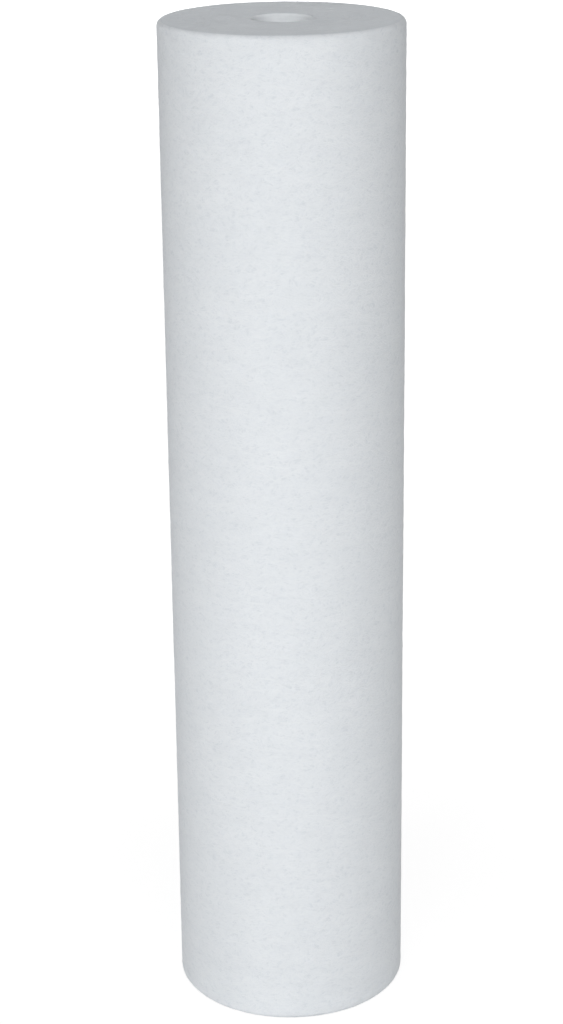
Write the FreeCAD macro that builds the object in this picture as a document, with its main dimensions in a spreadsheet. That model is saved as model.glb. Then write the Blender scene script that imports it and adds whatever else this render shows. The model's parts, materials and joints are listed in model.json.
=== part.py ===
import FreeCAD, Part
import Sketcher
import os

# Sediment filter cartridge, twenty inch jumbo class.
# A single thick-walled tube of blown polypropylene fibre, standing on one cut end.
# Millimetres, +Z up the tube, origin at the middle of the lower end face.

NODE = "filter_cartridge"
PARTS_FOLDER = "parts"

# Driving sizes: name in the sheet, value in millimetres, and what it sets.
DRIVING_SIZES = [
    ("CartridgeLength", 502.0, "Length between the two cut end faces"),
    ("OutsideDiameter", 117.0, "Across the blown outer surface"),
    ("BoreDiameter", 28.0, "Open core that slips over the housing's spigots"),
    ("RimRounding", 3.0, "Radius of the soft edge round each end face"),
    ("BoreLipRounding", 1.5, "Radius of the edge at each mouth of the bore"),
]

LENGTH_TOLERANCE = 0.001
VOLUME_TOLERANCE = 1.0


def make_size_sheet(doc):
    """The sheet that holds every driving size, one row each, with its alias."""
    sheet = doc.addObject("Spreadsheet::Sheet", "Sizes")
    sheet.set("A1", "Size")
    sheet.set("B1", "Millimetres")
    sheet.set("C1", "What it sets")
    for row, (alias, value, meaning) in enumerate(DRIVING_SIZES, start=2):
        sheet.set(f"A{row}", alias)
        sheet.set(f"B{row}", str(value))
        sheet.set(f"C{row}", meaning)
        sheet.setAlias(f"B{row}", alias)
    doc.recompute()
    return sheet


def origin_plane(body, role):
    """One of the body's own origin planes, such as XY_Plane."""
    return next(plane for plane in body.Origin.OriginFeatures if plane.Role == role)


def add_circle_on_origin(sketch, diameter_name, size_name):
    """A circle centred on the sketch's origin, its diameter bound to the sheet."""
    placeholder_radius = 10.0
    centre = FreeCAD.Vector(0, 0, 0)
    upwards = FreeCAD.Vector(0, 0, 1)
    circle = sketch.addGeometry(Part.Circle(centre, upwards, placeholder_radius), False)
    # A circle's centre is its point 3, and the sketch's origin is point 1 of its axis -1.
    sketch.addConstraint(Sketcher.Constraint("Coincident", circle, 3, -1, 1))
    diameter = Sketcher.Constraint("Diameter", circle, 2 * placeholder_radius)
    diameter_index = sketch.addConstraint(diameter)
    sketch.renameConstraint(diameter_index, diameter_name)
    sketch.setExpression(f"Constraints.{diameter_name}", f"Sizes.{size_name}")
    return circle


def make_end_face_sketch(doc, body):
    """The ring that the lower end face shows: the outer edge and the bore."""
    sketch = body.newObject("Sketcher::SketchObject", "EndFaceRing")
    sketch.AttachmentSupport = [(origin_plane(body, "XY_Plane"), "")]
    sketch.MapMode = "FlatFace"
    add_circle_on_origin(sketch, "OuterEdge", "OutsideDiameter")
    add_circle_on_origin(sketch, "BoreEdge", "BoreDiameter")
    doc.recompute()
    return sketch


def make_fibre_wall(doc, body, sketch):
    """The ring drawn out to the cartridge's full length."""
    wall = body.newObject("PartDesign::Pad", "FibreWall")
    wall.Profile = sketch
    wall.Type = "Length"
    wall.setExpression("Length", "Sizes.CartridgeLength")
    sketch.Visibility = False
    doc.recompute()
    return wall


def end_edge_names(shape, radius):
    """Names of the circular edges of one radius: one at each end of the tube."""
    names = []
    for number, edge in enumerate(shape.Edges, start=1):
        is_circle = isinstance(edge.Curve, Part.Circle)
        if is_circle and abs(edge.Curve.Radius - radius) < LENGTH_TOLERANCE:
            names.append(f"Edge{number}")
    if len(names) != 2:
        raise RuntimeError(f"expected an edge at each end of radius {radius}, found {names}")
    return names


def round_end_edges(doc, body, base, name, diameter, rounding_name):
    """Rounds the two end edges that lie on one diameter of the tube."""
    fillet = body.newObject("PartDesign::Fillet", name)
    fillet.Base = (base, end_edge_names(base.Shape, diameter / 2))
    fillet.setExpression("Radius", f"Sizes.{rounding_name}")
    base.Visibility = False
    doc.recompute()
    return fillet


def make_cartridge(doc, sheet):
    """The one-piece cartridge: a ring drawn up, with soft rims and bore mouths."""
    body = doc.addObject("PartDesign::Body", "Cartridge")
    body.Label = NODE
    sketch = make_end_face_sketch(doc, body)
    wall = make_fibre_wall(doc, body, sketch)
    rims = round_end_edges(doc, body, wall, "OuterRims", sheet.OutsideDiameter, "RimRounding")
    round_end_edges(doc, body, rims, "BoreLips", sheet.BoreDiameter, "BoreLipRounding")
    return body


def check_document(doc):
    """Stops if any object of the document failed to recompute."""
    for item in doc.Objects:
        for state in item.State:
            if state in ("Invalid", "Error"):
                raise RuntimeError(f"{item.Label} did not recompute: {item.State}")


def check_cartridge(body, sheet):
    """Stops unless the shape is one sound solid, open through its middle, of the stated size."""
    shape = body.Shape
    if shape.isNull() or not shape.isValid() or len(shape.Solids) != 1:
        raise RuntimeError("the cartridge isn't one sound solid")
    box = shape.optimalBoundingBox(False, False)
    wanted = (sheet.OutsideDiameter, sheet.OutsideDiameter, sheet.CartridgeLength)
    found = (box.XLength, box.YLength, box.ZLength)
    for stated, measured in zip(wanted, found):
        if abs(stated - measured) > LENGTH_TOLERANCE:
            raise RuntimeError(f"the cartridge measures {found}, not {wanted}")
    core = Part.makeCylinder(sheet.BoreDiameter / 2, sheet.CartridgeLength)
    if shape.common(core).Volume > VOLUME_TOLERANCE:
        raise RuntimeError("the bore isn't open from end to end")


def write_step(body):
    """Writes the sub-part's shape under its own name."""
    os.makedirs(PARTS_FOLDER, exist_ok=True)
    path = os.path.join(PARTS_FOLDER, f"{body.Label}.step")
    body.Shape.exportStep(path)
    print(f"{path}: volume {body.Shape.Volume / 1000:.1f} cubic centimetres")


def main():
    doc = FreeCAD.newDocument("SedimentFilterCartridge")
    sheet = make_size_sheet(doc)
    cartridge = make_cartridge(doc, sheet)
    doc.recompute()
    check_document(doc)
    check_cartridge(cartridge, sheet)
    write_step(cartridge)


main()
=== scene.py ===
import json
import math

import bpy
from mathutils import Matrix, Vector


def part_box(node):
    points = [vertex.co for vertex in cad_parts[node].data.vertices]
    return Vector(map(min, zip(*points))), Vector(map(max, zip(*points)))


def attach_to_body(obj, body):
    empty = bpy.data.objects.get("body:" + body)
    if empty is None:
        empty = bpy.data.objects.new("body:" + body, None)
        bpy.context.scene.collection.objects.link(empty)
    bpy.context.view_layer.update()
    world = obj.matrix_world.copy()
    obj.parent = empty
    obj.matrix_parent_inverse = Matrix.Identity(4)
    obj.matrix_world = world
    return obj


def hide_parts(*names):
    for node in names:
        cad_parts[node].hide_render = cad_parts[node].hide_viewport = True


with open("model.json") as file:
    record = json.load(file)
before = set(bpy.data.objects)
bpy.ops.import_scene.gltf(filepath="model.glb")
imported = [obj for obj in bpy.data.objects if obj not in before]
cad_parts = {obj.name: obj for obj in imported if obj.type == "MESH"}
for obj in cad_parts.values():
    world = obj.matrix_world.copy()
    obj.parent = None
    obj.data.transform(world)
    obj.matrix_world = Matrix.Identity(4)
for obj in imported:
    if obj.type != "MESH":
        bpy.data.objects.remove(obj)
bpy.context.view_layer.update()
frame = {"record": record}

bl_info = {
    "name": "Sediment filter cartridge",
    "version": (1, 0, 0),
    "blender": (4, 5, 0),
    "location": "View3D > Sidebar > Cartridge",
    "description": "Dresses a blown polypropylene depth cartridge and sets up its plain white studio",
    "category": "Object",
}

NODE = "filter_cartridge"
BODY = "root"
MM = 0.001


def packed_sizes():
    """The cartridge's length, outside diameter and bore diameter, in metres."""
    lowest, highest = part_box(NODE)
    bore = next(mount for mount in frame["record"]["mounts"] if mount["kind"] == "bore")
    return highest.z - lowest.z, highest.x - lowest.x, 2 * bore["dims"]["r_mm"] * MM


LENGTH, OUTSIDE, BORE = packed_sizes()


# Small helpers that add nodes to a tree

def feed(tree, node, inputs):
    """Gives each named or numbered input its plain value, or the output that feeds it."""
    for place, value in inputs.items():
        if isinstance(value, bpy.types.NodeSocket):
            tree.links.new(value, node.inputs[place])
        else:
            node.inputs[place].default_value = value


def add_node(tree, kind, inputs=None, **settings):
    """A node of one kind with its settings and inputs."""
    node = tree.nodes.new(kind)
    for setting, value in settings.items():
        setattr(node, setting, value)
    feed(tree, node, inputs or {})
    return node


def maths(tree, operation, *values, clamp=False):
    """One sum on numbers."""
    inputs = dict(enumerate(values))
    return add_node(tree, "ShaderNodeMath", inputs, operation=operation, use_clamp=clamp).outputs[0]


def vector_maths(tree, operation, *values):
    """One sum on vectors."""
    inputs = dict(enumerate(values))
    return add_node(tree, "ShaderNodeVectorMath", inputs, operation=operation).outputs["Vector"]


def scaled(tree, vector, factor):
    """A vector made longer by a factor."""
    inputs = {"Vector": vector, "Scale": factor}
    return add_node(tree, "ShaderNodeVectorMath", inputs, operation="SCALE").outputs["Vector"]


def combined(tree, x=0.0, y=0.0, z=0.0):
    """A vector from its three numbers."""
    return add_node(tree, "ShaderNodeCombineXYZ", {"X": x, "Y": y, "Z": z}).outputs["Vector"]


def separated(tree, vector):
    """The three numbers of a vector."""
    return add_node(tree, "ShaderNodeSeparateXYZ", {"Vector": vector}).outputs


def eased(tree, value, start, end, low=0.0, high=1.0):
    """Goes smoothly from low to high while the value goes from start to end."""
    inputs = {"Value": value, "From Min": start, "From Max": end, "To Min": low, "To Max": high}
    settings = {"interpolation_type": "SMOOTHSTEP"}
    return add_node(tree, "ShaderNodeMapRange", inputs, **settings).outputs["Result"]


# A Mix node takes its share at input 0, its numbers at 2 and 3 and its colours at 6 and 7.

def mixed(tree, share, low, high):
    """The low number where the share is 0, and the high one where it is 1."""
    return add_node(tree, "ShaderNodeMix", {0: share, 2: low, 3: high}, data_type="FLOAT").outputs[0]


def tinted(tree, share, ground, cover):
    """The ground colour where the share is 0, and the cover colour where it is 1."""
    return add_node(tree, "ShaderNodeMix", {0: share, 6: ground, 7: cover}, data_type="RGBA").outputs[2]


def noise(tree, vector, scale=1.0, detail=0.0):
    """Smooth noise from 0 to 1, and the same as a vector."""
    inputs = {"Vector": vector, "Scale": scale, "Detail": detail}
    return add_node(tree, "ShaderNodeTexNoise", inputs).outputs


def patches(tree, vector, scale=1.0, detail=0.0):
    """Noise drawn apart, so that it reaches 0 and 1."""
    return eased(tree, noise(tree, vector, scale, detail)["Fac"], start=0.3, end=0.7)


def sway(tree, vector, scale=1.0):
    """Noise as a vector that goes as far one way as the other."""
    level = noise(tree, vector, scale, detail=1.0)["Color"]
    return vector_maths(tree, "SUBTRACT", level, (0.5, 0.5, 0.5))


def distance_from_axis(tree, vector):
    """How far a place lies from the cartridge's axis."""
    flat = vector_maths(tree, "MULTIPLY", vector, (1.0, 1.0, 0.0))
    return add_node(tree, "ShaderNodeVectorMath", {0: flat}, operation="LENGTH").outputs["Value"]


def new_tree(name, kind, inputs, outputs):
    """A node group with named sockets. Gives the tree, its inputs and its outputs."""
    tree = bpy.data.node_groups.new(name, kind)
    for label, socket_type, default in inputs:
        socket = tree.interface.new_socket(label, in_out="INPUT", socket_type=socket_type)
        if default is not None:
            socket.default_value = default
    for label, socket_type in outputs:
        tree.interface.new_socket(label, in_out="OUTPUT", socket_type=socket_type)
    given = tree.nodes.new("NodeGroupInput").outputs
    result = tree.nodes.new("NodeGroupOutput").inputs
    return tree, given, result


def placed_group(tree, name, inputs):
    """A shared node group placed in a material with that material's own values."""
    node = tree.nodes.new("ShaderNodeGroup")
    node.node_tree = bpy.data.node_groups[name]
    feed(tree, node, inputs)
    return node.outputs


# Sizes and colours that a user would change

class CartridgeSizes(bpy.types.PropertyGroup):
    """The tube's own measures and the relief of its surfaces"""

    length: bpy.props.FloatProperty(
        name="Length", description="Between the two cut ends", default=LENGTH, unit="LENGTH")
    outside: bpy.props.FloatProperty(
        name="Outside diameter", description="Across the blown skin", default=OUTSIDE, unit="LENGTH")
    bore: bpy.props.FloatProperty(
        name="Bore diameter", description="Across the open core", default=BORE, unit="LENGTH")
    rim_rounding: bpy.props.FloatProperty(
        name="Rim rounding", description="Radius of the soft outer edge at each end",
        default=3.0 * MM, unit="LENGTH")
    lip_rounding: bpy.props.FloatProperty(
        name="Lip rounding", description="Radius of the edge at each mouth of the bore",
        default=1.5 * MM, unit="LENGTH")
    swell: bpy.props.FloatProperty(
        name="Swell", description="Depth of the broad unevenness of the blown skin",
        default=0.35 * MM, unit="LENGTH")
    dimples: bpy.props.FloatProperty(
        name="Dimples", description="Depth of the small hollows between the fibre clumps",
        default=0.16 * MM, unit="LENGTH")
    lay: bpy.props.FloatProperty(
        name="Lay", description="Depth of the faint helical bands that the turning mandrel leaves",
        default=0.07 * MM, unit="LENGTH")
    rings: bpy.props.FloatProperty(
        name="Rings", description="Depth of the built-up layers that show on a cut end",
        default=0.14 * MM, unit="LENGTH")


class CartridgeColours(bpy.types.PropertyGroup):
    """The colours of the fibre and how matte it is"""

    fibre: bpy.props.FloatVectorProperty(
        name="Fibre", description="The blown polypropylene as light meets it",
        default=(0.79, 0.82, 0.852), subtype="COLOR", size=3, min=0.0, max=1.0)
    thread: bpy.props.FloatVectorProperty(
        name="Thread", description="Single threads that lie on the felt",
        default=(0.85, 0.875, 0.89), subtype="COLOR", size=3, min=0.0, max=1.0)
    pore: bpy.props.FloatVectorProperty(
        name="Pore", description="The felt between the threads, where less light comes back",
        default=(0.66, 0.70, 0.74), subtype="COLOR", size=3, min=0.0, max=1.0)
    roughness: bpy.props.FloatProperty(
        name="Roughness", description="How matte the fibre is", default=0.88,
        subtype="FACTOR", min=0.0, max=1.0)


class CartridgeStudio(bpy.types.PropertyGroup):
    """The light round the cartridge and the camera in front of it"""

    surround: bpy.props.FloatProperty(
        name="Surround", description="Strength of the even light from all sides", default=0.2, min=0.0)
    key_power: bpy.props.FloatProperty(
        name="Key power", description="Watts of the left front lamp, of which the others have a share",
        default=67.0, unit="POWER", min=0.0)
    lamp_distance: bpy.props.FloatProperty(
        name="Lamp distance", description="From the large lamps to the cartridge's middle",
        default=5.0, unit="LENGTH", min=0.1)
    focal_length: bpy.props.FloatProperty(
        name="Focal length", description="Of the camera, on a 36 mm sensor", default=84.4,
        unit="CAMERA", min=1.0)


# Shared shader groups: what the fibre looks like up close

# How often fibres bend, in the felt and in the loose strands alike.
BENDS_PER_METRE = 130.0

# Each layer of crossing fibres: its turn in radians, which Opening scales, and how strongly it shows.
FIBRE_LAYERS = ((0.06, 1.0), (0.45, 0.85), (-0.40, 0.9), (1.10, 0.6), (-0.95, 0.65))


def make_crossing_fibres_group():
    """Bent fibres that cross on a flat place: contour lines of noises drawn out along each angle."""
    tree, given, result = new_tree(
        "Crossing fibres", "ShaderNodeTree",
        [("Vector", "NodeSocketVector", None), ("Fibre Length", "NodeSocketFloat", 9.0 * MM),
         ("Spacing", "NodeSocketFloat", 0.5 * MM), ("Line Width", "NodeSocketFloat", 0.04),
         ("Opening", "NodeSocketFloat", 1.0)],
        [("Fibres", "NodeSocketFloat"), ("Pores", "NodeSocketFloat"), ("Height", "NodeSocketFloat")])
    bend_reach = 5.0 * MM
    bend = scaled(tree, sway(tree, given["Vector"], BENDS_PER_METRE), bend_reach)
    bent = vector_maths(tree, "ADD", given["Vector"], bend)
    per_length = maths(tree, "DIVIDE", 1.0, given["Fibre Length"])
    per_spacing = maths(tree, "DIVIDE", 1.0, given["Spacing"])
    drawn_out = combined(tree, per_length, per_spacing, 1.0)
    fibres = 0.0
    layer = 0.0
    # Each layer reads the noise at a level of its own, well away from the last one's.
    layer_step = 7.3
    for angle, strength in FIBRE_LAYERS:
        layer += layer_step
        turn = maths(tree, "MULTIPLY", given["Opening"], angle)
        turned = add_node(tree, "ShaderNodeVectorRotate", {
            "Vector": bent, "Angle": turn}, rotation_type="Z_AXIS").outputs[0]
        stretched = vector_maths(tree, "MULTIPLY", turned, drawn_out)
        place = vector_maths(tree, "ADD", stretched, (0.0, 0.0, layer))
        level = noise(tree, place, detail=0.6)["Fac"]
        from_line = maths(tree, "ABSOLUTE", maths(tree, "SUBTRACT", level, 0.5))
        line = eased(tree, from_line, 0.0, given["Line Width"], strength, 0.0)
        fibres = maths(tree, "MAXIMUM", fibres, line)
    fullness = noise(tree, scaled(tree, bent, per_spacing), scale=0.7, detail=2.0)["Fac"]
    hollow = eased(tree, fullness, start=0.55, end=0.3)
    pores = maths(tree, "MULTIPLY", hollow, maths(tree, "SUBTRACT", 1.0, fibres))
    fibre_share = 0.45
    height = maths(tree, "MULTIPLY", fullness, 1.0 - fibre_share)
    height = maths(tree, "MULTIPLY_ADD", fibres, fibre_share, height)
    tree.links.new(fibres, result["Fibres"])
    tree.links.new(pores, result["Pores"])
    tree.links.new(height, result["Height"])


def make_wound_layers_group():
    """Uneven layers laid one on another round the axis, crossed by the value called Across."""
    tree, given, result = new_tree(
        "Wound layers", "ShaderNodeTree",
        [("Vector", "NodeSocketVector", None), ("Across", "NodeSocketFloat", 0.0),
         ("Spacing", "NodeSocketFloat", 2.0 * MM), ("Waviness", "NodeSocketFloat", 1.0)],
        [("Layers", "NodeSocketFloat")])
    flat = vector_maths(tree, "MULTIPLY", given["Vector"], (1.0, 1.0, 0.0))
    around = vector_maths(tree, "NORMALIZE", flat)
    turned = separated(tree, scaled(tree, around, given["Waviness"]))
    steps = maths(tree, "DIVIDE", given["Across"], given["Spacing"])
    place = combined(tree, turned["X"], turned["Y"], steps)
    tree.links.new(patches(tree, place, detail=2.0), result["Layers"])


def new_material(name):
    """A material with an empty tree and its output node."""
    material = bpy.data.materials.new(name)
    material.use_nodes = True
    material.node_tree.nodes.clear()
    output = material.node_tree.nodes.new("ShaderNodeOutputMaterial")
    return material, material.node_tree, output


def opaque(colour):
    """A colour with the fourth number that a socket wants."""
    return (*colour, 1.0)


def fibre_shader(tree, output, colour, roughness, height, relief):
    """The matte fibre surface: colour, roughness and raised threads."""
    bump = add_node(tree, "ShaderNodeBump", {"Height": height, "Distance": relief, "Strength": 1.0})
    surface = add_node(tree, "ShaderNodeBsdfPrincipled", {
        "Base Color": colour, "Roughness": roughness, "Normal": bump.outputs["Normal"],
        "Specular IOR Level": 0.3, "Sheen Weight": 0.08, "Sheen Roughness": 0.6})
    tree.links.new(surface.outputs["BSDF"], output.inputs["Surface"])


def unrolled(tree, place):
    """A place on the tube's side laid flat: how far round it lies from the front, and how high."""
    parts = separated(tree, place)
    angle = maths(tree, "ARCTAN2", parts["X"], maths(tree, "MULTIPLY", parts["Y"], -1.0))
    return combined(tree, maths(tree, "MULTIPLY", angle, distance_from_axis(tree, place)), parts["Z"])


def felted(tree, ground, colours, fibres, fibre_share, pore_share):
    """The ground colour with lighter fibres laid on it and darker pores between them."""
    pores = maths(tree, "MULTIPLY", fibres["Pores"], pore_share)
    raised = maths(tree, "MULTIPLY", fibres["Fibres"], fibre_share)
    return tinted(tree, raised, tinted(tree, pores, ground, opaque(colours.pore)), opaque(colours.thread))


def felt(tree, colours, flat, spacing, opening):
    """Colour and height of the felt: bundles of fibres with single fine ones over and between them."""
    bundles = placed_group(tree, "Crossing fibres", {
        "Vector": flat, "Fibre Length": spacing * 9.0, "Spacing": spacing, "Line Width": 0.05,
        "Opening": opening})
    singles = placed_group(tree, "Crossing fibres", {
        "Vector": flat, "Fibre Length": spacing * 5.0, "Spacing": spacing * 0.28, "Line Width": 0.04,
        "Opening": opening * 1.3})
    colour = felted(tree, opaque(colours.fibre), colours, bundles, fibre_share=0.5, pore_share=0.6)
    colour = felted(tree, colour, colours, singles, fibre_share=0.35, pore_share=0.3)
    singles_relief = 0.3
    return colour, maths(tree, "MULTIPLY_ADD", singles["Height"], singles_relief, bundles["Height"])


def darker(tree, colour, colours, level, share):
    """The colour turned toward the pore colour by a share of the level."""
    return tinted(tree, maths(tree, "MULTIPLY", level, share), colour, opaque(colours.pore))


def make_skin_material(colours):
    """The outer skin: fibres that run mostly round the tube, over cloudy build-up."""
    material, tree, output = new_material("blown_skin")
    place = add_node(tree, "ShaderNodeTexCoord").outputs["Object"]
    colour, height = felt(tree, colours, unrolled(tree, place), spacing=1.8 * MM, opening=1.0)
    bands = placed_group(tree, "Wound layers", {
        "Vector": place, "Across": separated(tree, place)["Z"], "Spacing": 7.0 * MM, "Waviness": 2.5})
    clouds = patches(tree, place, scale=34.0, detail=2.0)
    colour = darker(tree, colour, colours, maths(tree, "ADD", clouds, bands["Layers"]), share=0.09)
    roughness = maths(tree, "MULTIPLY_ADD", clouds, -0.06, colours.roughness)
    height = maths(tree, "MULTIPLY_ADD", bands["Layers"], 0.12, height)
    fibre_shader(tree, output, colour, roughness, height, relief=0.10 * MM)
    return material


def make_cut_end_material(colours):
    """A cut end: fibres cut short every way, over the rings in which the wall was built up."""
    material, tree, output = new_material("hot_cut_end")
    place = add_node(tree, "ShaderNodeTexCoord").outputs["Object"]
    radius = distance_from_axis(tree, place)
    flat = vector_maths(tree, "MULTIPLY", place, (1.0, 1.0, 0.0))
    colour, height = felt(tree, colours, flat, spacing=1.2 * MM, opening=1.5)
    # Painted shade: the whole cut end is turned halfway to the pore colour, so that it reads darker than
    # the skin, as grazing light makes it.
    colour = tinted(tree, share=0.5, ground=colour, cover=opaque(colours.pore))
    rings = placed_group(tree, "Wound layers", {
        "Vector": place, "Across": radius, "Spacing": 1.1 * MM, "Waviness": 3.0})
    layers = placed_group(tree, "Wound layers", {
        "Vector": place, "Across": radius, "Spacing": 4.5 * MM, "Waviness": 0.8})
    colour = darker(tree, colour, colours, rings["Layers"], share=0.26)
    colour = darker(tree, colour, colours, layers["Layers"], share=0.18)
    fused = eased(tree, noise(tree, place, scale=60.0, detail=2.0)["Fac"], start=0.45, end=0.7)
    roughness = maths(tree, "MULTIPLY_ADD", fused, -0.05, colours.roughness)
    height = maths(tree, "MULTIPLY_ADD", rings["Layers"], -0.6, height)
    fibre_shader(tree, output, colour, roughness, height, relief=0.09 * MM)
    return material


def make_core_wall_material(colours):
    """The core wall: dense fibre with the fine turning marks of the mandrel."""
    material, tree, output = new_material("core_wall")
    place = add_node(tree, "ShaderNodeTexCoord").outputs["Object"]
    colour, height = felt(tree, colours, unrolled(tree, place), spacing=1.1 * MM, opening=0.5)
    # The first layers on the mandrel are the densest, and this is also painted light: the bore is made
    # lighter, as light scattering through the fibre makes it.
    colour = tinted(tree, share=0.6, ground=colour, cover=opaque(colours.thread))
    marks = placed_group(tree, "Wound layers", {
        "Vector": place, "Across": separated(tree, place)["Z"], "Spacing": 1.6 * MM, "Waviness": 1.2})
    colour = darker(tree, colour, colours, marks["Layers"], share=0.14)
    roughness = maths(tree, "MULTIPLY_ADD", marks["Layers"], -0.12, colours.roughness)
    height = maths(tree, "MULTIPLY_ADD", marks["Layers"], 0.6, height)
    fibre_shader(tree, output, colour, roughness, height, relief=0.08 * MM)
    return material


def make_loose_fibre_material(colours):
    """Loose threads: the same plastic, drawn finer and thicker along their run."""
    material, tree, output = new_material("loose_fibre")
    place = add_node(tree, "ShaderNodeTexCoord").outputs["Object"]
    beads = noise(tree, place, scale=900.0, detail=1.0)["Fac"]
    slow = patches(tree, place, scale=110.0, detail=1.0)
    colour = tinted(tree, slow, opaque(colours.fibre), opaque(colours.thread))
    roughness = maths(tree, "MULTIPLY_ADD", slow, -0.1, colours.roughness - 0.1)
    fibre_shader(tree, output, colour, roughness, beads, relief=0.02 * MM)
    return material


# The tube: its wall section drawn round the axis

TUBE_SOCKETS = [
    ("Length", "NodeSocketFloat", 0.5),
    ("Outside Diameter", "NodeSocketFloat", 0.1),
    ("Bore Diameter", "NodeSocketFloat", 0.03),
    ("Rim Rounding", "NodeSocketFloat", 3.0 * MM),
    ("Lip Rounding", "NodeSocketFloat", 1.5 * MM),
    ("Corner Points", "NodeSocketInt", 6),
    ("Points Round", "NodeSocketInt", 184),
    ("Skin Spacing", "NodeSocketFloat", 2.0 * MM),
    ("End Spacing", "NodeSocketFloat", 0.75 * MM),
    ("Core Spacing", "NodeSocketFloat", 8.0 * MM),
    ("Swell", "NodeSocketFloat", 0.35 * MM),
    ("Dimples", "NodeSocketFloat", 0.16 * MM),
    ("Lay", "NodeSocketFloat", 0.07 * MM),
    ("Rings", "NodeSocketFloat", 0.14 * MM),
    ("Skin", "NodeSocketMaterial", None),
    ("Cut End", "NodeSocketMaterial", None),
    ("Core Wall", "NodeSocketMaterial", None),
]


def place_of(tree):
    """Where each point of the geometry is."""
    return add_node(tree, "GeometryNodeInputPosition").outputs[0]


def next_place(tree, place):
    """Where the next point along the curve is."""
    following = add_node(tree, "GeometryNodeOffsetPointInCurve", {"Offset": 1})
    return add_node(tree, "GeometryNodeFieldAtIndex", {
        "Index": following.outputs["Point Index"], "Value": place},
        data_type="FLOAT_VECTOR", domain="POINT").outputs[0]


def wall_thickness(tree, given):
    """Half of what the outside diameter has over the bore."""
    across = maths(tree, "SUBTRACT", given["Outside Diameter"], given["Bore Diameter"])
    return maths(tree, "DIVIDE", across, 2.0)


def wall_section(tree, given):
    """The wall cut through: a tall rectangle with rounded corners and points at even spacings."""
    wall = wall_thickness(tree, given)
    rectangle = add_node(tree, "GeometryNodeCurvePrimitiveQuadrilateral", {
        "Width": wall, "Height": given["Length"]}, mode="RECTANGLE").outputs[0]
    outward = maths(tree, "GREATER_THAN", separated(tree, place_of(tree))["X"], 0.0)
    radius = mixed(tree, outward, given["Lip Rounding"], given["Rim Rounding"])
    rounded = add_node(tree, "GeometryNodeFilletCurve", {
        "Curve": rectangle, "Count": given["Corner Points"], "Radius": radius}, mode="POLY").outputs[0]
    place = place_of(tree)
    following = next_place(tree, place)
    middle = separated(tree, scaled(tree, vector_maths(tree, "ADD", place, following), 0.5))["X"]
    run = add_node(tree, "ShaderNodeVectorMath", {0: place, 1: following}, operation="DISTANCE")
    # The skin and the core lie half a wall from the section's middle. A hair less finds them safely.
    edge = maths(tree, "MULTIPLY", wall, 0.4999)
    on_skin = maths(tree, "GREATER_THAN", middle, edge)
    on_core = maths(tree, "LESS_THAN", middle, maths(tree, "MULTIPLY", edge, -1.0))
    spacing = mixed(tree, on_skin, given["End Spacing"], given["Skin Spacing"])
    spacing = mixed(tree, on_core, spacing, given["Core Spacing"])
    cuts = maths(tree, "FLOOR", maths(tree, "DIVIDE", run.outputs["Value"], spacing))
    return add_node(tree, "GeometryNodeSubdivideCurve", {"Curve": rounded, "Cuts": cuts}).outputs[0]


def turned_wall(tree, given, section):
    """The wall's section carried once round the axis, standing on the floor."""
    across = maths(tree, "ADD", given["Outside Diameter"], given["Bore Diameter"])
    path = add_node(tree, "GeometryNodeCurvePrimitiveCircle", {
        "Resolution": given["Points Round"], "Radius": maths(tree, "DIVIDE", across, 4.0)},
        mode="RADIUS").outputs[0]
    tube = add_node(tree, "GeometryNodeCurveToMesh", {
        "Curve": path, "Profile Curve": section}).outputs[0]
    lift = combined(tree, z=maths(tree, "DIVIDE", given["Length"], 2.0))
    return add_node(tree, "GeometryNodeSetPosition", {"Geometry": tube, "Offset": lift}).outputs[0]


def from_middle(tree, given, place):
    """Height above or below the cartridge's middle."""
    middle = maths(tree, "DIVIDE", given["Length"], 2.0)
    return maths(tree, "ABSOLUTE", maths(tree, "SUBTRACT", separated(tree, place)["Z"], middle))


def about_zero(tree, level, depth):
    """A level from 0 to 1 made into a relief that goes as far out as in."""
    return maths(tree, "MULTIPLY", maths(tree, "SUBTRACT", level, 0.5), depth)


def skin_depth(tree, given, place):
    """How deep the skin lies under its mean diameter: swell, dimples and helical lay."""
    swells_per_metre = 13.0
    dimples_per_metre = 120.0
    bands_per_metre = 55.0
    starts = 3.0
    drifts_per_metre = 18.0
    drift_in_phase = 9.0
    swell = about_zero(tree, noise(tree, place, swells_per_metre, detail=1.0)["Fac"], given["Swell"])
    flattened = vector_maths(tree, "MULTIPLY", place, (1.0, 1.0, 1.5))
    dimpled = noise(tree, flattened, dimples_per_metre, detail=1.0)["Fac"]
    dimples = about_zero(tree, dimpled, given["Dimples"])
    # The bands climb as they go round, and drift unevenly.
    parts = separated(tree, place)
    angle = maths(tree, "ARCTAN2", parts["Y"], parts["X"])
    phase = maths(tree, "MULTIPLY", parts["Z"], math.tau * bands_per_metre)
    phase = maths(tree, "MULTIPLY_ADD", angle, starts, phase)
    drift = noise(tree, place, drifts_per_metre, detail=1.0)["Fac"]
    phase = maths(tree, "MULTIPLY_ADD", drift, drift_in_phase, phase)
    half_depth = maths(tree, "MULTIPLY", given["Lay"], 0.5)
    lay = maths(tree, "MULTIPLY", maths(tree, "SINE", phase), half_depth)
    return maths(tree, "ADD", maths(tree, "ADD", swell, dimples), lay)


def end_depth(tree, given, place):
    """How deep a cut end lies under the flat: uneven rings, one for each layer of the wall."""
    rings_per_metre = 340.0
    waviness = 1.6
    around = vector_maths(tree, "NORMALIZE", vector_maths(tree, "MULTIPLY", place, (1.0, 1.0, 0.0)))
    turned = separated(tree, scaled(tree, around, waviness))
    steps = maths(tree, "MULTIPLY", distance_from_axis(tree, place), rings_per_metre)
    ringed = combined(tree, turned["X"], turned["Y"], steps)
    return maths(tree, "MULTIPLY", noise(tree, ringed, detail=1.0)["Fac"], given["Rings"])


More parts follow.
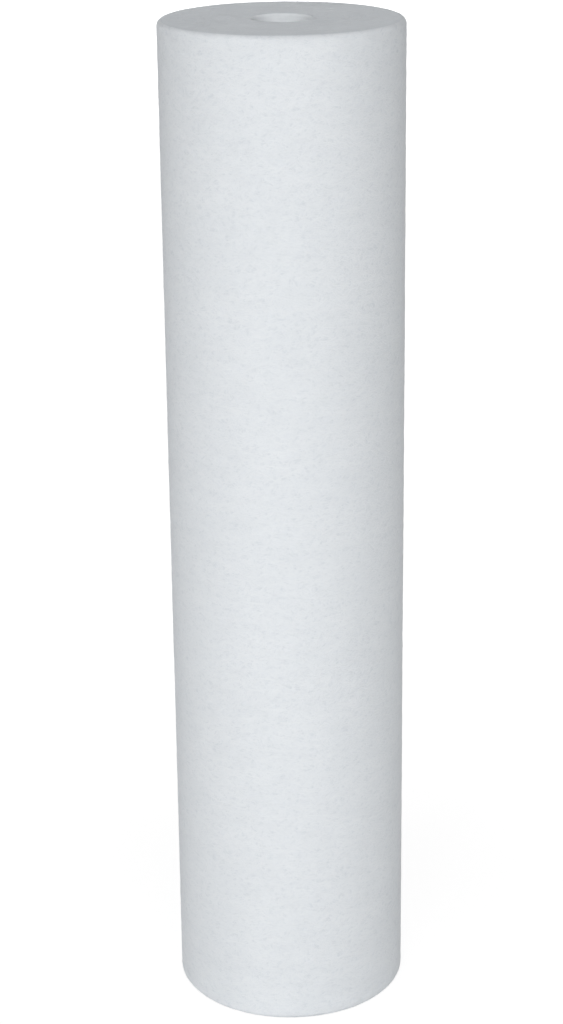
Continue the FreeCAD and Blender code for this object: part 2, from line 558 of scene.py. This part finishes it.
def uneven_surface(tree, given, tube):
    """The surfaces moved by their relief. The cut ends only sink, so the tube stands on its plane."""
    place = place_of(tree)
    radius = distance_from_axis(tree, place)
    outside = maths(tree, "DIVIDE", given["Outside Diameter"], 2.0)
    skin_share = eased(tree, radius, maths(tree, "SUBTRACT", outside, given["Rim Rounding"]), outside)
    end = maths(tree, "DIVIDE", given["Length"], 2.0)
    shoulder = maths(tree, "SUBTRACT", end, given["Rim Rounding"])
    end_share = eased(tree, from_middle(tree, given, place), shoulder, end)
    depth = maths(tree, "MULTIPLY", skin_depth(tree, given, place), skin_share)
    depth = maths(tree, "MULTIPLY_ADD", end_depth(tree, given, place), end_share, depth)
    normal = add_node(tree, "GeometryNodeInputNormal").outputs["Normal"]
    inward = scaled(tree, normal, maths(tree, "MULTIPLY", depth, -1.0))
    return add_node(tree, "GeometryNodeSetPosition", {"Geometry": tube, "Offset": inward}).outputs[0]


def finished_tube(tree, given, tube):
    """The skin, cut ends and core wall, each with its own finish."""
    place = place_of(tree)
    # The rings sink the cut end by less than this.
    sunk = 0.35 * MM
    end = maths(tree, "SUBTRACT", maths(tree, "DIVIDE", given["Length"], 2.0), sunk)
    on_end = maths(tree, "GREATER_THAN", from_middle(tree, given, place), end)
    half_lip = maths(tree, "MULTIPLY", given["Lip Rounding"], 0.5)
    mouth = maths(tree, "MULTIPLY_ADD", given["Bore Diameter"], 0.5, half_lip)
    in_core = maths(tree, "LESS_THAN", distance_from_axis(tree, place), mouth)
    smooth = add_node(tree, "GeometryNodeSetShadeSmooth", {0: tube}).outputs[0]
    whole = add_node(tree, "GeometryNodeRealizeInstances", {0: smooth}).outputs[0]
    for finish, where in (("Skin", True), ("Cut End", on_end), ("Core Wall", in_core)):
        whole = add_node(tree, "GeometryNodeSetMaterial", {
            "Geometry": whole, "Selection": where, "Material": given[finish]}).outputs[0]
    return whole


def make_tube_tree():
    """The whole cartridge from its sizes."""
    tree, given, result = new_tree(
        "Blown tube", "GeometryNodeTree", TUBE_SOCKETS, [("Geometry", "NodeSocketGeometry")])
    tube = turned_wall(tree, given, wall_section(tree, given))
    finished = finished_tube(tree, given, uneven_surface(tree, given, tube))
    tree.links.new(finished, result["Geometry"])
    return tree


# Loose fibres: fine strands that lie on the tube and lift at one end

FIBRE_SOCKETS = [
    ("Geometry", "NodeSocketGeometry", None),
    ("Grows On", "NodeSocketMaterial", None),
    ("Per Square Metre", "NodeSocketFloat", 30000.0),
    ("Tube Length", "NodeSocketFloat", 0.5),
    ("Reach From Ends", "NodeSocketFloat", 1.0),
    ("Shortest", "NodeSocketFloat", 8.0 * MM),
    ("Longest", "NodeSocketFloat", 18.0 * MM),
    ("Thickness", "NodeSocketFloat", 0.09 * MM),
    ("Points", "NodeSocketInt", 6),
    ("Spread", "NodeSocketFloat", 0.7),
    ("Wander", "NodeSocketFloat", 3.0 * MM),
    ("Lift", "NodeSocketFloat", 0.2 * MM),
    ("Seed", "NodeSocketInt", 1),
    ("Fibre", "NodeSocketMaterial", None),
]


# What each random draw adds to a piece's own seed, so that no two draws are alike.
TURN_SEED = 11.0
LENGTH_SEED = 23.0
WANDER_SEED = 37.0
LIFT_SEED = 53.0


def random_number(tree, given, low, high, added_seed, owner=None):
    """A number drawn for each point, or for each owner if one is given."""
    # A Random Value node takes a number's limits at inputs 2 and 3, and gives it at output 1.
    inputs = {2: low, 3: high, "Seed": maths(tree, "ADD", given["Seed"], added_seed)}
    if owner is not None:
        inputs["ID"] = owner
    return add_node(tree, "FunctionNodeRandomValue", inputs, data_type="FLOAT").outputs[1]


def strand_roots(tree, given):
    """Points on the surfaces that carry these fibres, each with a turn that lays its strand down."""
    place = place_of(tree)
    end = maths(tree, "DIVIDE", given["Tube Length"], 2.0)
    height = maths(tree, "SUBTRACT", separated(tree, place)["Z"], end)
    from_end = maths(tree, "SUBTRACT", end, maths(tree, "ABSOLUTE", height))
    near_end = maths(tree, "LESS_THAN", from_end, given["Reach From Ends"])
    surface = add_node(tree, "GeometryNodeMaterialSelection", {"Material": given["Grows On"]}).outputs[0]
    chosen = maths(tree, "MULTIPLY", near_end, surface)
    points = add_node(tree, "GeometryNodeDistributePointsOnFaces", {
        "Mesh": given["Geometry"], "Selection": chosen, "Density": given["Per Square Metre"],
        "Seed": given["Seed"]}, distribute_method="RANDOM")
    around = add_node(tree, "ShaderNodeVectorMath", {
        0: (0.0, 0.0, 1.0), 1: place}, operation="CROSS_PRODUCT").outputs["Vector"]
    upright = add_node(tree, "FunctionNodeAlignRotationToVector", {
        "Vector": points.outputs["Normal"]}, axis="Z").outputs[0]
    along = add_node(tree, "FunctionNodeAlignRotationToVector", {
        "Rotation": upright, "Vector": around}, axis="X", pivot_axis="Z").outputs[0]
    other_way = maths(tree, "MULTIPLY", given["Spread"], -1.0)
    aside = random_number(tree, given, other_way, given["Spread"], TURN_SEED)
    turn = add_node(tree, "FunctionNodeAxisAngleToRotation", {
        "Axis": (0.0, 0.0, 1.0), "Angle": aside}).outputs[0]
    laid = add_node(tree, "FunctionNodeRotateRotation", {
        "Rotation": along, "Rotate By": turn}, rotation_space="LOCAL").outputs[0]
    return points.outputs["Points"], laid


def straight_strands(tree, given):
    """A straight line of its own length at each root."""
    points, laid = strand_roots(tree, given)
    line = add_node(tree, "GeometryNodeCurvePrimitiveLine", {
        "Start": (-0.5, 0.0, 0.0), "End": (0.5, 0.0, 0.0)}).outputs[0]
    line = add_node(tree, "GeometryNodeResampleCurve", {
        "Curve": line, "Count": given["Points"]}, mode="COUNT").outputs[0]
    length = random_number(tree, given, given["Shortest"], given["Longest"], LENGTH_SEED)
    strands = add_node(tree, "GeometryNodeInstanceOnPoints", {
        "Points": points, "Instance": line, "Rotation": laid,
        "Scale": combined(tree, length, 1.0, 1.0)}).outputs[0]
    return add_node(tree, "GeometryNodeRealizeInstances", {0: strands}).outputs[0]


def wandering_strands(tree, given, strands):
    """The strands bent sideways, each by a stretch of noise that is its own."""
    strand = add_node(tree, "GeometryNodeCurveOfPoint").outputs["Curve Index"]
    own = random_number(tree, given, 0.0, 90.0, WANDER_SEED, strand)
    place = scaled(tree, place_of(tree), BENDS_PER_METRE)
    place = vector_maths(tree, "ADD", place, combined(tree, own, own, own))
    offset = scaled(tree, sway(tree, place), given["Wander"])
    return add_node(tree, "GeometryNodeSetPosition", {"Geometry": strands, "Offset": offset}).outputs[0]


def hugging_strands(tree, given, strands):
    """The strands laid on the surface, one end rising a little, and never under the floor."""
    nearest = add_node(tree, "GeometryNodeProximity", {
        "Geometry": given["Geometry"]}, target_element="FACES").outputs["Position"]
    normal = add_node(tree, "GeometryNodeSampleNearestSurface", {
        "Mesh": given["Geometry"], "Value": add_node(tree, "GeometryNodeInputNormal").outputs[0]},
        data_type="FLOAT_VECTOR").outputs["Value"]
    strand = add_node(tree, "GeometryNodeCurveOfPoint").outputs["Curve Index"]
    share = random_number(tree, given, 0.0, 1.0, LIFT_SEED, strand)
    lift = maths(tree, "MULTIPLY", maths(tree, "POWER", share, 2.0), given["Lift"])
    along = add_node(tree, "GeometryNodeSplineParameter").outputs["Factor"]
    rise = maths(tree, "MULTIPLY", maths(tree, "POWER", along, 2.0), lift)
    # A strand's centre line lies this share of its thickness above the surface, so it is partly sunk in.
    bedded = 0.15
    height = maths(tree, "MULTIPLY_ADD", given["Thickness"], bedded, rise)
    laid = vector_maths(tree, "ADD", nearest, scaled(tree, normal, height))
    parts = separated(tree, laid)
    half = maths(tree, "MULTIPLY", given["Thickness"], 0.5)
    above = combined(tree, parts["X"], parts["Y"], maths(tree, "MAXIMUM", parts["Z"], half))
    return add_node(tree, "GeometryNodeSetPosition", {"Geometry": strands, "Position": above}).outputs[0]


def make_fibre_tree():
    """Fine three-sided strands strewn over one finish of the tube."""
    tree, given, result = new_tree(
        "Loose fibres", "GeometryNodeTree", FIBRE_SOCKETS, [("Geometry", "NodeSocketGeometry")])
    strands = straight_strands(tree, given)
    strands = wandering_strands(tree, given, strands)
    strands = hugging_strands(tree, given, strands)
    along = add_node(tree, "GeometryNodeSplineParameter").outputs["Factor"]
    # 0 halfway along a strand and 1 at either tip, where it has about a third of its thickness.
    to_tip = maths(tree, "ABSOLUTE", maths(tree, "MULTIPLY_ADD", along, 2.0, -1.0))
    taper = eased(tree, to_tip, 0.3, 1.0, 1.0, 0.35)
    profile = add_node(tree, "GeometryNodeCurvePrimitiveCircle", {
        "Resolution": 3, "Radius": maths(tree, "MULTIPLY", given["Thickness"], 0.5)},
        mode="RADIUS").outputs[0]
    threads = add_node(tree, "GeometryNodeCurveToMesh", {
        "Curve": strands, "Profile Curve": profile, "Scale": taper, "Fill Caps": True}).outputs[0]
    smooth = add_node(tree, "GeometryNodeSetShadeSmooth", {0: threads}).outputs[0]
    whole = add_node(tree, "GeometryNodeRealizeInstances", {0: smooth}).outputs[0]
    finished = add_node(tree, "GeometryNodeSetMaterial", {
        "Geometry": whole, "Material": given["Fibre"]}).outputs[0]
    tree.links.new(finished, result["Geometry"])
    return tree


# Turning a tree's result into a finished piece

def grown_piece(name, tree, values, surface=None):
    """A piece whose plain mesh is what the tree makes, from a copy of the surface if one is given."""
    mesh = surface.data.copy() if surface else bpy.data.meshes.new(name)
    piece = bpy.data.objects.new(name, mesh)
    bpy.context.scene.collection.objects.link(piece)
    modifier = piece.modifiers.new(tree.name, "NODES")
    modifier.node_group = tree
    identifiers = {}
    for item in tree.interface.items_tree:
        if item.in_out == "INPUT":
            identifiers[item.name] = item.identifier
    for label, value in values.items():
        modifier[identifiers[label]] = value
    depsgraph = bpy.context.evaluated_depsgraph_get()
    made = bpy.data.meshes.new_from_object(piece.evaluated_get(depsgraph), depsgraph=depsgraph)
    piece.modifiers.remove(modifier)
    piece.data = made
    made.name = name
    bpy.data.meshes.remove(mesh)
    if not made.polygons:
        raise RuntimeError(f"{name} came out empty")
    return piece


def attach(piece):
    """The piece moves with the cartridge."""
    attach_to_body(piece, BODY)


class CARTRIDGE_OT_finishes(bpy.types.Operator):
    """Makes the finishes of the blown fibre and the shader groups that they share"""

    bl_idname = "cartridge.finishes"
    bl_label = "Fibre finishes"

    def execute(self, context):
        colours = context.scene.cartridge_colours
        make_crossing_fibres_group()
        make_wound_layers_group()
        make_skin_material(colours)
        make_cut_end_material(colours)
        make_core_wall_material(colours)
        make_loose_fibre_material(colours)
        return {"FINISHED"}


class CARTRIDGE_OT_blown_tube(bpy.types.Operator):
    """Makes the one-piece fibre tube, open from end to end"""

    bl_idname = "cartridge.blown_tube"
    bl_label = "Blown fibre tube"

    def execute(self, context):
        sizes = context.scene.cartridge_sizes
        tube = grown_piece("blown_tube", make_tube_tree(), {
            "Length": sizes.length, "Outside Diameter": sizes.outside, "Bore Diameter": sizes.bore,
            "Rim Rounding": sizes.rim_rounding, "Lip Rounding": sizes.lip_rounding,
            "Swell": sizes.swell, "Dimples": sizes.dimples, "Lay": sizes.lay, "Rings": sizes.rings,
            "Skin": bpy.data.materials["blown_skin"],
            "Cut End": bpy.data.materials["hot_cut_end"],
            "Core Wall": bpy.data.materials["core_wall"],
        })
        attach(tube)
        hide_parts(NODE)
        return {"FINISHED"}


class CARTRIDGE_OT_loose_fibres(bpy.types.Operator):
    """Strews fine loose strands over the skin, the cut ends, the core wall and the rims"""

    bl_idname = "cartridge.loose_fibres"
    bl_label = "Loose fibres"

    def execute(self, context):
        tube = bpy.data.objects["blown_tube"]
        tree = make_fibre_tree()
        strewn = {
            "skin_fibres": {
                "Grows On": bpy.data.materials["blown_skin"], "Per Square Metre": 23000.0,
                "Shortest": 7.0 * MM, "Longest": 20.0 * MM, "Points": 8, "Wander": 5.0 * MM,
                "Lift": 0.15 * MM, "Thickness": 0.065 * MM, "Seed": 3},
            "skin_down": {
                "Grows On": bpy.data.materials["blown_skin"], "Per Square Metre": 72000.0,
                "Shortest": 2.0 * MM, "Longest": 5.5 * MM, "Points": 3, "Spread": 1.4,
                "Wander": 2.5 * MM, "Lift": 0.35 * MM, "Thickness": 0.045 * MM, "Seed": 4},
            "cut_end_fibres": {
                "Grows On": bpy.data.materials["hot_cut_end"], "Per Square Metre": 90000.0,
                "Shortest": 2.0 * MM, "Longest": 8.0 * MM, "Spread": 1.5, "Wander": 2.0 * MM,
                "Lift": 0.25 * MM, "Thickness": 0.055 * MM, "Seed": 5},
            "core_fibres": {
                "Grows On": bpy.data.materials["core_wall"], "Per Square Metre": 30000.0,
                "Shortest": 4.0 * MM, "Longest": 10.0 * MM, "Spread": 0.5, "Lift": 0.15 * MM, "Seed": 7},
            "rim_fuzz": {
                "Grows On": bpy.data.materials["blown_skin"], "Per Square Metre": 420000.0,
                "Reach From Ends": 5.0 * MM, "Shortest": 0.8 * MM, "Longest": 3.0 * MM, "Points": 4,
                "Spread": math.pi, "Wander": 1.0 * MM, "Lift": 0.9 * MM, "Thickness": 0.05 * MM,
                "Seed": 9},
        }
        for name, values in strewn.items():
            values["Tube Length"] = context.scene.cartridge_sizes.length
            values["Fibre"] = bpy.data.materials["loose_fibre"]
            attach(grown_piece(name, tree, values, surface=tube))
        return {"FINISHED"}


# The studio: a white floor and surround, soft lamps and the camera

def shows_white(tree, path):
    """1 for the rays in which the backdrop is seen, straight or in a reflection."""
    seen = maths(tree, "MAXIMUM", path["Is Camera Ray"], path["Is Glossy Ray"])
    return maths(tree, "MAXIMUM", seen, path["Is Transmission Ray"])


def make_floor_material():
    """White where it is seen, with a faint shadow kept near the cartridge.

    It is clear from below, and even light comes up through it to the end face that stands on it.
    """
    material, tree, output = new_material("studio_floor")
    from_axis = distance_from_axis(tree, add_node(tree, "ShaderNodeTexCoord").outputs["Object"])
    # The lamps' own light makes up the rest to white, and falls off a little further out.
    near_glow = 0.885
    far_glow = 0.97
    glow = add_node(tree, "ShaderNodeEmission", {
        "Color": (1.0, 1.0, 1.0, 1.0),
        "Strength": eased(tree, from_axis, 0.1, 0.5, near_glow, far_glow)})
    shade = add_node(tree, "ShaderNodeBsdfDiffuse", {"Color": (0.2, 0.2, 0.2, 1.0)})
    seen = add_node(tree, "ShaderNodeAddShader", {0: glow.outputs[0], 1: shade.outputs[0]})
    lit = add_node(tree, "ShaderNodeBsdfDiffuse", {"Color": (0.8, 0.8, 0.8, 1.0)})
    path = add_node(tree, "ShaderNodeLightPath").outputs
    white = shows_white(tree, path)
    upper = add_node(tree, "ShaderNodeMixShader", {0: white, 1: lit.outputs[0], 2: seen.outputs[0]})
    clear = add_node(tree, "ShaderNodeBsdfTransparent")
    below = add_node(tree, "ShaderNodeNewGeometry").outputs["Backfacing"]
    close = maths(tree, "LESS_THAN", path["Ray Length"], 1.0 * MM)
    under_foot = maths(tree, "MULTIPLY", close, maths(tree, "SUBTRACT", 1.0, white))
    passes = maths(tree, "MAXIMUM", below, under_foot)
    surface = add_node(tree, "ShaderNodeMixShader", {0: passes, 1: upper.outputs[0], 2: clear.outputs[0]})
    tree.links.new(surface.outputs[0], output.inputs["Surface"])
    return material


def make_floor():
    """A large floor just under the cartridge."""
    half = 8.0
    top = -0.1 * MM
    corners = [(-half, -half, top), (half, -half, top), (half, half, top), (-half, half, top)]
    mesh = bpy.data.meshes.new("studio_floor")
    mesh.from_pydata(corners, [], [(0, 1, 2, 3)])
    mesh.materials.append(make_floor_material())
    floor = bpy.data.objects.new("studio_floor", mesh)
    bpy.context.scene.collection.objects.link(floor)


def make_surround(strength):
    """White where it is seen, and an even grey light for the cartridge."""
    world = bpy.data.worlds.new("studio_surround")
    world.use_nodes = True
    tree = world.node_tree
    tree.nodes.clear()
    light = add_node(tree, "ShaderNodeBackground", {"Color": (1.0, 1.0, 1.0, 1.0), "Strength": strength})
    white = add_node(tree, "ShaderNodeBackground", {"Color": (1.0, 1.0, 1.0, 1.0), "Strength": 1.0})
    path = add_node(tree, "ShaderNodeLightPath").outputs
    surround = add_node(tree, "ShaderNodeMixShader", {
        0: shows_white(tree, path), 1: light.outputs[0], 2: white.outputs[0]})
    output = tree.nodes.new("ShaderNodeOutputWorld")
    tree.links.new(surround.outputs[0], output.inputs["Surface"])
    bpy.context.scene.world = world


def soft_lamp(name, aim, turn, height, distance, size, power):
    """A square lamp that faces its aim, turned round the cartridge and raised by degrees."""
    turn = math.radians(turn)
    height = math.radians(height)
    level = math.cos(height)
    away = Vector((math.sin(turn) * level, -math.cos(turn) * level, math.sin(height)))
    light = bpy.data.lights.new(name, "AREA")
    light.size = size
    light.energy = power
    lamp = bpy.data.objects.new(name, light)
    lamp.location = aim + away * distance
    lamp.rotation_euler = away.to_track_quat("Z", "Y").to_euler()
    lamp.visible_camera = False
    bpy.context.scene.collection.objects.link(lamp)


def make_lamps(studio):
    """Large lamps above the front and behind, and two small ones low down that lift the foot."""
    key = studio.key_power
    far = {"aim": Vector((0.0, 0.0, LENGTH / 2)), "distance": studio.lamp_distance}
    soft_lamp("left_high", turn=-30.0, height=28.0, size=2.8, power=key, **far)
    soft_lamp("front_high", turn=0.0, height=33.0, size=2.8, power=key * 0.88, **far)
    soft_lamp("right_high", turn=30.0, height=28.0, size=2.8, power=key * 0.64, **far)
    soft_lamp("back", turn=180.0, height=3.0, size=1.0, power=key * 2.25, **far)
    near = {"aim": Vector((0.0, 0.0, 0.12)), "distance": 0.7, "height": 0.0, "size": 0.22}
    soft_lamp("left_low", turn=-50.0, power=key * 0.008, **near)
    soft_lamp("right_low", turn=50.0, power=key * 0.006, **near)


# The camera's place and turn: it looks slightly down on the cartridge from in front.
CAMERA_PLACE = Vector((0.0, -1.1349, 0.6598))
CAMERA_DOWN = math.radians(19.563)
CAMERA_TILT = math.radians(-0.653)
CAMERA_ASIDE = math.radians(-0.133)


def make_camera(focal_length):
    """The camera, aimed by how far it looks down, aside and tilts."""
    level = math.cos(CAMERA_DOWN)
    forward = Vector((math.sin(CAMERA_ASIDE) * level, math.cos(CAMERA_ASIDE) * level,
                      -math.sin(CAMERA_DOWN)))
    right = forward.cross(Vector((0.0, 0.0, 1.0))).normalized()
    up = right.cross(forward)
    tilted_right = math.cos(CAMERA_TILT) * right + math.sin(CAMERA_TILT) * up
    tilted_up = math.cos(CAMERA_TILT) * up - math.sin(CAMERA_TILT) * right
    lens = bpy.data.cameras.new("studio_camera")
    lens.lens = focal_length
    lens.sensor_width = 36.0
    camera = bpy.data.objects.new("studio_camera", lens)
    turn = Matrix((tilted_right, tilted_up, -forward)).transposed().to_4x4()
    camera.matrix_world = Matrix.Translation(CAMERA_PLACE) @ turn
    bpy.context.scene.collection.objects.link(camera)
    bpy.context.scene.camera = camera


class CARTRIDGE_OT_studio(bpy.types.Operator):
    """Makes the white floor and surround, the soft lamps and the camera"""

    bl_idname = "cartridge.studio"
    bl_label = "White studio"

    def execute(self, context):
        studio = context.scene.cartridge_studio
        context.scene.view_settings.view_transform = "Standard"
        make_floor()
        make_surround(studio.surround)
        make_lamps(studio)
        make_camera(studio.focal_length)
        return {"FINISHED"}


class CARTRIDGE_PT_sidebar(bpy.types.Panel):
    """Lists the cartridge's sizes, colours and makers"""

    bl_label = "Filter cartridge"
    bl_space_type = "VIEW_3D"
    bl_region_type = "UI"
    bl_category = "Cartridge"

    def draw(self, context):
        scene = context.scene
        for settings in (scene.cartridge_sizes, scene.cartridge_colours, scene.cartridge_studio):
            box = self.layout.box()
            for setting in settings.__annotations__:
                box.prop(settings, setting)
        for maker in MAKERS:
            self.layout.operator(maker.bl_idname)


SETTINGS = {
    "cartridge_sizes": CartridgeSizes,
    "cartridge_colours": CartridgeColours,
    "cartridge_studio": CartridgeStudio,
}
MAKERS = (CARTRIDGE_OT_finishes, CARTRIDGE_OT_blown_tube, CARTRIDGE_OT_loose_fibres, CARTRIDGE_OT_studio)


def register():
    """Makes the settings, operators and panel known, and gives the scene its settings."""
    for shared in (*SETTINGS.values(), *MAKERS, CARTRIDGE_PT_sidebar):
        bpy.utils.register_class(shared)
    for name, settings in SETTINGS.items():
        setattr(bpy.types.Scene, name, bpy.props.PointerProperty(type=settings))


def unregister():
    """Takes back what register did, in the opposite order."""
    for name in SETTINGS:
        delattr(bpy.types.Scene, name)
    for shared in (CARTRIDGE_PT_sidebar, *reversed(MAKERS), *reversed(SETTINGS.values())):
        bpy.utils.unregister_class(shared)


def main():
    """Makes the whole scene, one operator after another."""
    register()
    bpy.ops.cartridge.finishes()
    bpy.ops.cartridge.blown_tube()
    bpy.ops.cartridge.loose_fibres()
    bpy.ops.cartridge.studio()


if __name__ == "__main__":
    main()
